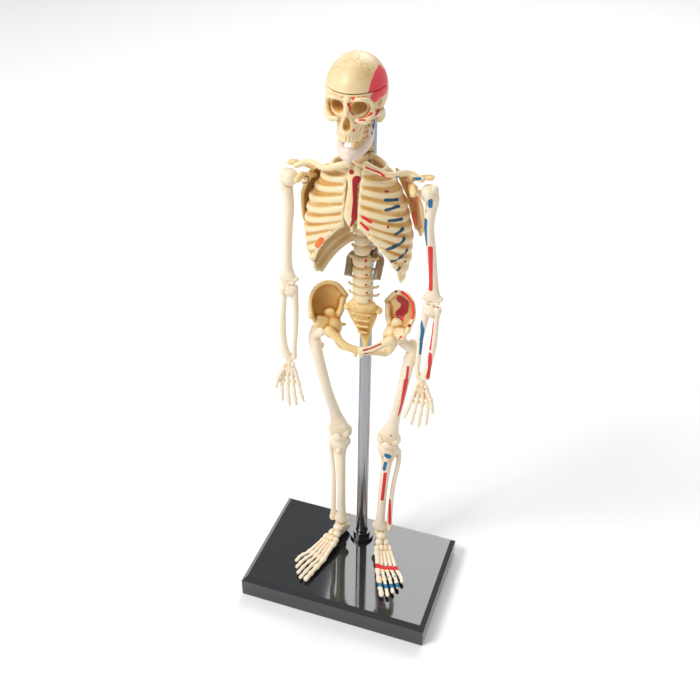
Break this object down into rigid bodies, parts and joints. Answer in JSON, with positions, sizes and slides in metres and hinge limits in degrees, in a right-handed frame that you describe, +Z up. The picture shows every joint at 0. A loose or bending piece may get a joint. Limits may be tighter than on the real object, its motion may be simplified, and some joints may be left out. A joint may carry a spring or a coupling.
{
  "type": "human skeleton model",
  "caption": "Desk-top human skeleton on a rectangular base and pole, with a lift-off skull cap, hinged jaw, swinging arms and legs and painted muscle areas on one side.",
  "frame": {"origin": "centre of the base's underside", "axes": "+Z up, the figure faces -Y, its left side is at +X"},
  "size_m": [0.082, 0.0544, 0.2354],
  "materials": {
    "ivory_plastic": "satin, amber stain in the hollows",
    "pelvis_plastic": "satin, deeper yellow",
    "black_plastic": "polished black",
    "polished_tube": "bright drawn tube",
    "smoke_plastic": "smoky, slightly see-through"
  },
  "bodies": {
    "stand": {"base_plate": "black_plastic", "pole_collar": "black_plastic", "support_pole": "polished_tube"},
    "trunk": {"spine_fork": "smoke_plastic", "cervical_spine": "ivory_plastic", "thoracic_spine": "ivory_plastic", "lumbar_spine": "ivory_plastic", "sacrum": "pelvis_plastic", "sternum": "ivory_plastic", "rib_cage_left": "ivory_plastic", "rib_cage_right": "ivory_plastic", "clavicle_left": "ivory_plastic", "clavicle_right": "ivory_plastic", "scapula_left": "ivory_plastic", "scapula_right": "ivory_plastic", "hip_bone_left": "pelvis_plastic", "hip_bone_right": "pelvis_plastic"},
    "head": {"skull_base": "ivory_plastic"},
    "cap": {"skull_cap": "ivory_plastic"},
    "jaw": {"mandible": "ivory_plastic"},
    "left_upper_arm": {"humerus_left": "ivory_plastic"},
    "left_forearm": {"forearm_left": "ivory_plastic"},
    "left_hand": {"hand_left": "ivory_plastic"},
    "left_thigh": {"femur_left": "ivory_plastic", "patella_left": "ivory_plastic"},
    "left_shin": {"shin_left": "ivory_plastic"},
    "left_foot": {"foot_left": "ivory_plastic"},
    "right_upper_arm": {"humerus_right": "ivory_plastic"},
    "right_forearm": {"forearm_right": "ivory_plastic"},
    "right_hand": {"hand_right": "ivory_plastic"},
    "right_thigh": {"femur_right": "ivory_plastic", "patella_right": "ivory_plastic"},
    "right_shin": {"shin_right": "ivory_plastic"},
    "right_foot": {"foot_right": "ivory_plastic"}
  },
  "joints": [
    {"name": "figure_turn", "type": "hinge", "parent": "stand", "child": "trunk", "pos_m": [0, 0.0145, 0.153], "axis": [0, 0, 1], "continuous": true},
    {"name": "skull_turn", "type": "hinge", "parent": "trunk", "child": "head", "pos_m": [0.00096, 0.00349, 0.2124], "axis": [0, 0, 1], "range_deg": [-40, 40]},
    {"name": "cap_lift", "type": "slide", "parent": "head", "child": "cap", "axis": [0, 0, 1], "range_m": [0, 0.025]},
    {"name": "jaw_open", "type": "hinge", "parent": "head", "child": "jaw", "pos_m": [0.00133, -0.00069, 0.2139], "axis": [0.9962, 0.0872, 0], "range_deg": [0, 16]},
    {"name": "shoulder_swing_left", "type": "hinge", "parent": "trunk", "child": "left_upper_arm", "pos_m": [0.02531, 0.0006, 0.1914], "axis": [-0.9962, -0.0872, 0], "range_deg": [-25, 95]},
    {"name": "elbow_turn_left", "type": "hinge", "parent": "left_upper_arm", "child": "left_forearm", "pos_m": [0.0276, 0.00542, 0.1458], "axis": [0, 0, 1], "range_deg": [-70, 70]},
    {"name": "wrist_turn_left", "type": "hinge", "parent": "left_forearm", "child": "left_hand", "pos_m": [0.02525, 0.00702, 0.1098], "axis": [0, 0, 1], "range_deg": [-60, 60]},
    {"name": "hip_swing_left", "type": "hinge", "parent": "trunk", "child": "left_thigh", "pos_m": [0.01379, 0.00943, 0.1264], "axis": [-0.9962, -0.0872, 0], "range_deg": [0, 70]},
    {"name": "knee_turn_left", "type": "hinge", "parent": "left_thigh", "child": "left_shin", "pos_m": [0.01051, 0.01597, 0.066], "axis": [0, 0, 1], "range_deg": [-10, 10]},
    {"name": "ankle_turn_left", "type": "hinge", "parent": "left_shin", "child": "left_foot", "pos_m": [0.00939, 0.01276, 0.0192], "axis": [0, 0, 1], "range_deg": [-20, 6]},
    {"name": "shoulder_swing_right", "type": "hinge", "parent": "trunk", "child": "right_upper_arm", "pos_m": [-0.02251, -0.00358, 0.1914], "axis": [-0.9962, -0.0872, 0], "range_deg": [-25, 95]},
    {"name": "elbow_turn_right", "type": "hinge", "parent": "right_upper_arm", "child": "right_forearm", "pos_m": [-0.026, 0.00073, 0.1458], "axis": [0, 0, 1], "range_deg": [-70, 70]},
    {"name": "wrist_turn_right", "type": "hinge", "parent": "right_forearm", "child": "right_hand", "pos_m": [-0.02735, 0.00242, 0.1098], "axis": [0, 0, 1], "range_deg": [-60, 60]},
    {"name": "hip_swing_right", "type": "hinge", "parent": "trunk", "child": "right_thigh", "pos_m": [-0.0127, 0.00711, 0.1264], "axis": [-0.9962, -0.0872, 0], "range_deg": [0, 70]},
    {"name": "knee_turn_right", "type": "hinge", "parent": "right_thigh", "child": "right_shin", "pos_m": [-0.01061, 0.01412, 0.066], "axis": [0, 0, 1], "range_deg": [-10, 10]},
    {"name": "ankle_turn_right", "type": "hinge", "parent": "right_shin", "child": "right_foot", "pos_m": [-0.00894, 0.01116, 0.0192], "axis": [0, 0, 1], "range_deg": [-6, 20]}
  ]
}
